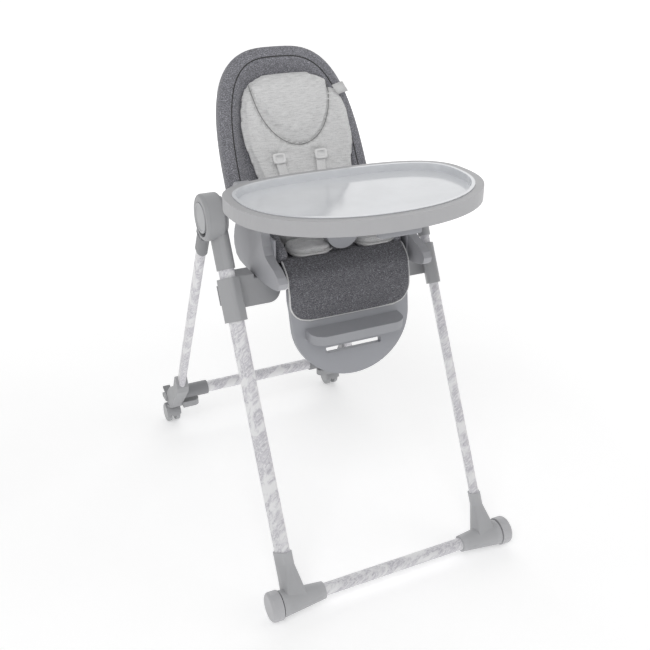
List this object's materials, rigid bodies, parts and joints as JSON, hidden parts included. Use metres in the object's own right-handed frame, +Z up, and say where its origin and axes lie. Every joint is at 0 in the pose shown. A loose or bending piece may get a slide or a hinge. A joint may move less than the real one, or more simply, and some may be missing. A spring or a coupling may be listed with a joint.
{
  "type": "baby high chair",
  "caption": "Folding baby high chair with sliding seat, reclining padded back, leg rest with footrest, removable tray, front wheels and braked rear casters.",
  "frame": {"origin": "centre of the footprint on the floor", "axes": "+X to the right of a viewer who faces the tray, -Y to the front, towards the tray and the front wheels, +Z up"},
  "size_m": [0.564, 0.8746, 1.0018],
  "materials": {
    "printed_tube": "white satin lacquer with pale grey brush marks",
    "housing_grey": "satin moulded grey",
    "socket_grey": "satin moulded dark grey",
    "button_grey": "satin moulded light grey",
    "seat_grey": "satin moulded cool grey",
    "footrest_grey": "satin moulded darker cool grey",
    "tray_grey": "satin moulded light grey",
    "tray_gloss": "glossy pale blue white",
    "dark_fabric": "dark grey melange weave",
    "light_fabric": "light grey melange knit with piping",
    "webbing": "off-white webbing",
    "harness_clip": "white moulded",
    "steel": "zinc plated"
  },
  "bodies": {
    "front_frame": {"front_leg_left": "printed_tube", "front_leg_right": "printed_tube", "front_crossbar": "printed_tube", "front_foot_left": "housing_grey", "front_foot_right": "housing_grey", "front_axles": "steel", "hub_housing_left": "housing_grey", "hub_housing_right": "housing_grey", "hub_cover_left": "housing_grey", "hub_cover_right": "housing_grey", "hub_pins": "steel", "hub_screws": "steel"},
    "front_wheel_left": {"front_wheel_left": "housing_grey"},
    "front_wheel_right": {"front_wheel_right": "housing_grey"},
    "hub_button_left": {"hub_button_left": "button_grey"},
    "hub_button_right": {"hub_button_right": "button_grey"},
    "rear_frame": {"rear_socket_left": "socket_grey", "rear_socket_right": "socket_grey", "rear_leg_left": "printed_tube", "rear_leg_right": "printed_tube", "rear_crossbar": "printed_tube", "rear_bar_sleeves": "socket_grey", "rear_foot_left": "housing_grey", "rear_foot_right": "housing_grey"},
    "caster_left": {"caster_fork_left": "housing_grey", "caster_axle_left": "steel"},
    "caster_right": {"caster_fork_right": "housing_grey", "caster_axle_right": "steel"},
    "caster_wheels_left": {"caster_wheels_left": "button_grey"},
    "caster_wheels_right": {"caster_wheels_right": "button_grey"},
    "brake_pedal_left": {"brake_pedal_left": "socket_grey"},
    "brake_pedal_right": {"brake_pedal_right": "socket_grey"},
    "carriage": {"slider_left": "housing_grey", "slider_right": "housing_grey", "seat_brackets": "housing_grey", "seat_pan": "seat_grey", "side_arm_left": "seat_grey", "side_arm_right": "seat_grey", "seat_pins": "steel", "seat_pad": "dark_fabric", "thigh_pads": "light_fabric", "buckle": "harness_clip", "waist_straps": "webbing"},
    "trigger_left": {"slider_trigger_left": "socket_grey"},
    "trigger_right": {"slider_trigger_right": "socket_grey"},
    "buckle_button": {"buckle_button": "button_grey"},
    "back": {"backrest_shell": "seat_grey", "backrest_pad": "dark_fabric", "reducer_cushion": "light_fabric", "shoulder_straps": "webbing", "strap_adjusters": "harness_clip"},
    "recline_handle": {"recline_handle": "socket_grey"},
    "legrest": {"legrest_panel": "seat_grey", "calf_flap": "dark_fabric"},
    "footrest": {"footrest": "footrest_grey"},
    "tray": {"tray_base": "tray_grey", "tray_rails": "socket_grey", "crotch_post": "seat_grey"},
    "tray_insert": {"tray_insert": "tray_gloss"},
    "tray_lever": {"tray_lever": "seat_grey"}
  },
  "joints": [
    {"name": "fold", "type": "hinge", "parent": "front_frame", "child": "rear_frame", "pos_m": [0, -0.048, 0.718], "axis": [-1, 0, 0], "range_deg": [0, 42]},
    {"name": "seat_height", "type": "slide", "parent": "front_frame", "child": "carriage", "axis": [0, -0.4478, -0.8942], "range_m": [0, 0.24]},
    {"name": "recline", "type": "hinge", "parent": "carriage", "child": "back", "pos_m": [0, 0.006, 0.612], "axis": [-1, 0, 0], "range_deg": [0, 32]},
    {"name": "legrest_tilt", "type": "hinge", "parent": "carriage", "child": "legrest", "pos_m": [0, -0.166, 0.606], "axis": [-1, 0, 0], "range_deg": [0, 60]},
    {"name": "footrest_pull", "type": "slide", "parent": "legrest", "child": "footrest", "axis": [0, -0.9857, 0.1685], "range_m": [0, 0.03]},
    {"name": "tray_depth", "type": "slide", "parent": "carriage", "child": "tray", "axis": [0, -1, 0], "range_m": [0, 0.06]},
    {"name": "tray_insert_lift", "type": "slide", "parent": "tray", "child": "tray_insert", "axis": [0, 0, 1], "range_m": [0, 0.04]},
    {"name": "tray_release", "type": "slide", "parent": "tray", "child": "tray_lever", "axis": [0, -1, 0], "range_m": [0, 0.006], "stiffness_N_per_m": 400, "springref_m": -0.002},
    {"name": "front_wheel_left_spin", "type": "hinge", "parent": "front_frame", "child": "front_wheel_left", "pos_m": [-0.27, -0.40603, 0.03], "axis": [1, 0, 0], "continuous": true},
    {"name": "hub_button_left_press", "type": "slide", "parent": "front_frame", "child": "hub_button_left", "axis": [1, 0, 0], "range_m": [0, 0.0045], "stiffness_N_per_m": 600, "springref_m": -0.002},
    {"name": "caster_left_swivel", "type": "hinge", "parent": "rear_frame", "child": "caster_left", "pos_m": [-0.238, 0.38396, 0.06], "axis": [0, 0, 1], "continuous": true},
    {"name": "caster_left_roll", "type": "hinge", "parent": "caster_left", "child": "caster_wheels_left", "pos_m": [-0.238, 0.39996, 0.025], "axis": [1, 0, 0], "continuous": true},
    {"name": "brake_left", "type": "hinge", "parent": "rear_frame", "child": "brake_pedal_left", "pos_m": [-0.238, 0.41096, 0.074], "axis": [-1, 0, 0], "range_deg": [0, 35]},
    {"name": "trigger_left_pull", "type": "slide", "parent": "carriage", "child": "trigger_left", "axis": [0, 0.4478, 0.8942], "range_m": [0, 0.006], "stiffness_N_per_m": 500, "springref_m": -0.002},
    {"name": "front_wheel_right_spin", "type": "hinge", "parent": "front_frame", "child": "front_wheel_right", "pos_m": [0.27, -0.40603, 0.03], "axis": [1, 0, 0], "continuous": true},
    {"name": "hub_button_right_press", "type": "slide", "parent": "front_frame", "child": "hub_button_right", "axis": [-1, 0, 0], "range_m": [0, 0.0045], "stiffness_N_per_m": 600, "springref_m": -0.002},
    {"name": "caster_right_swivel", "type": "hinge", "parent": "rear_frame", "child": "caster_right", "pos_m": [0.238, 0.38396, 0.06], "axis": [0, 0, 1], "continuous": true},
    {"name": "caster_right_roll", "type": "hinge", "parent": "caster_right", "child": "caster_wheels_right", "pos_m": [0.238, 0.39996, 0.025], "axis": [1, 0, 0], "continuous": true},
    {"name": "brake_right", "type": "hinge", "parent": "rear_frame", "child": "brake_pedal_right", "pos_m": [0.238, 0.41096, 0.074], "axis": [-1, 0, 0], "range_deg": [0, 35]},
    {"name": "trigger_right_pull", "type": "slide", "parent": "carriage", "child": "trigger_right", "axis": [0, 0.4478, 0.8942], "range_m": [0, 0.006], "stiffness_N_per_m": 500, "springref_m": -0.002},
    {"name": "recline_squeeze", "type": "slide", "parent": "back", "child": "recline_handle", "axis": [0, 0.4695, 0.8829], "range_m": [0, 0.008], "stiffness_N_per_m": 500, "springref_m": -0.003},
    {"name": "buckle_press", "type": "slide", "parent": "carriage", "child": "buckle_button", "axis": [0, 0, -1], "range_m": [0, 0.003], "stiffness_N_per_m": 500, "springref_m": -0.002}
  ]
}
